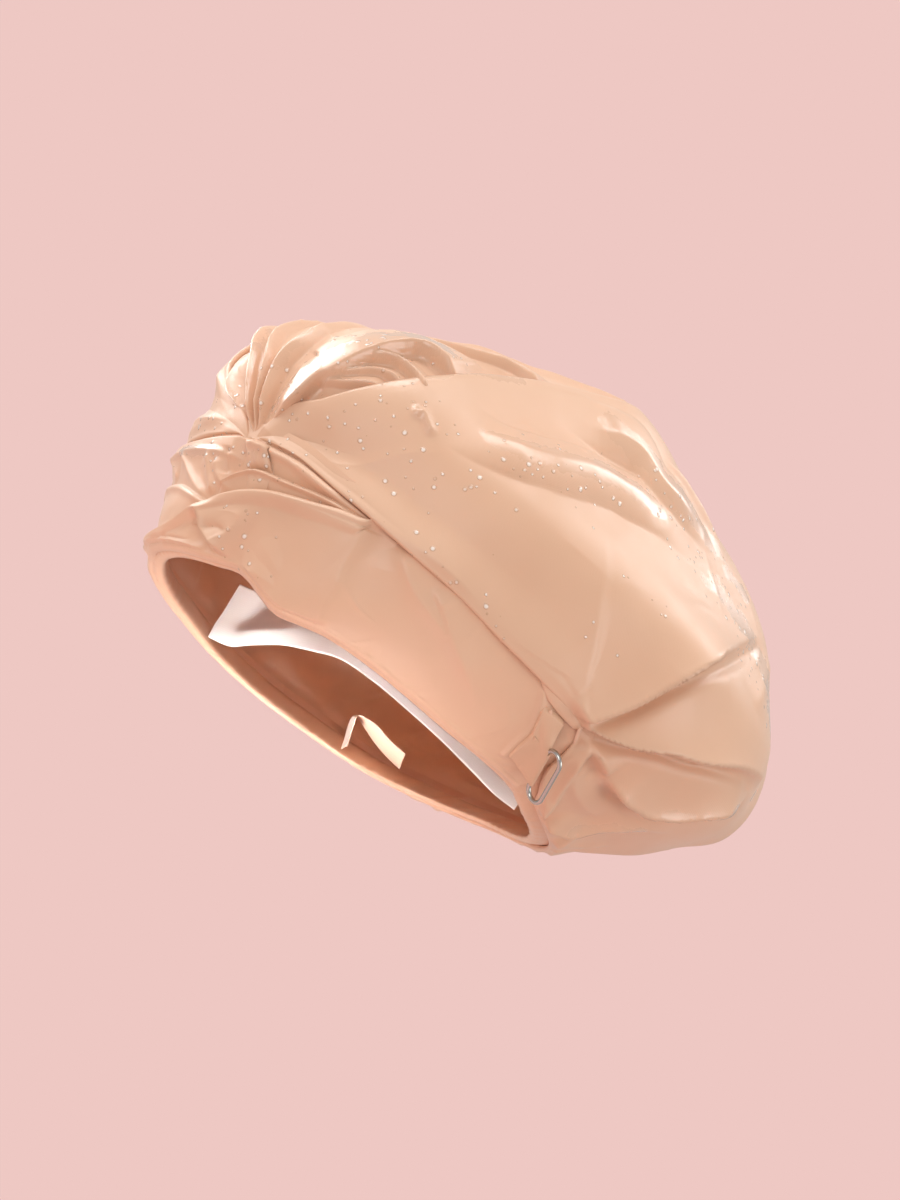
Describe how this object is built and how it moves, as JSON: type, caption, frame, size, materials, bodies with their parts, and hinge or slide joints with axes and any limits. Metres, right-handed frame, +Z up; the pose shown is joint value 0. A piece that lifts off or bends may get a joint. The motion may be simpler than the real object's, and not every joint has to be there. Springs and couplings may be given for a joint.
{
  "type": "shower cap",
  "caption": "Turban-style waterproof bathing cap with a pleated crown gathered at the brow, a lined and elasticated rim, an inner grip band and a metal hanging ring.",
  "frame": {"origin": "centre of the head opening, in the plane of the rim's lowest edge", "axes": "+Z up through the crown, -Y towards the forehead and the knot, +X towards the wearer's left, the side with the hanging ring"},
  "size_m": [0.2045, 0.2803, 0.157],
  "materials": {
    "coated_nylon": "satin nylon with a thin glossy waterproof coating, nude beige",
    "satin_lining": "smooth satin lining, tan",
    "elastic_webbing": "ribbed white elastic",
    "grip_silicone": "soft matte white",
    "ring_steel": "polished pale steel wire",
    "label_ribbon": "blank satin ribbon",
    "stitching": "tone-on-tone polyester thread"
  },
  "bodies": {
    "cap": {"crown_panel": "coated_nylon", "top_pleats": "coated_nylon", "wrap_roll_left": "coated_nylon", "wrap_roll_right": "coated_nylon", "brow_band": "coated_nylon", "crown_lining": "satin_lining", "hem_casing": "coated_nylon", "hem_elastic": "elastic_webbing", "brow_grip_band": "grip_silicone", "knot_core": "coated_nylon", "knot_loop": "coated_nylon", "ring_tab": "coated_nylon", "band_end_strip": "coated_nylon", "care_label": "label_ribbon", "gather_tape_left": "elastic_webbing", "gather_tape_right": "elastic_webbing", "gather_tack_left": "stitching", "gather_tack_right": "stitching", "loop_tack_lower": "stitching", "loop_tack_upper": "stitching", "tab_tack": "stitching"},
    "ring": {"hanging_ring": "ring_steel"}
  },
  "joints": [
    {"name": "ring_swing", "type": "hinge", "parent": "cap", "child": "ring", "pos_m": [0.08588, 0.03555, 0.00843], "axis": [-0.627, 0.4595, -0.629], "range_deg": [-57, 78]}
  ]
}
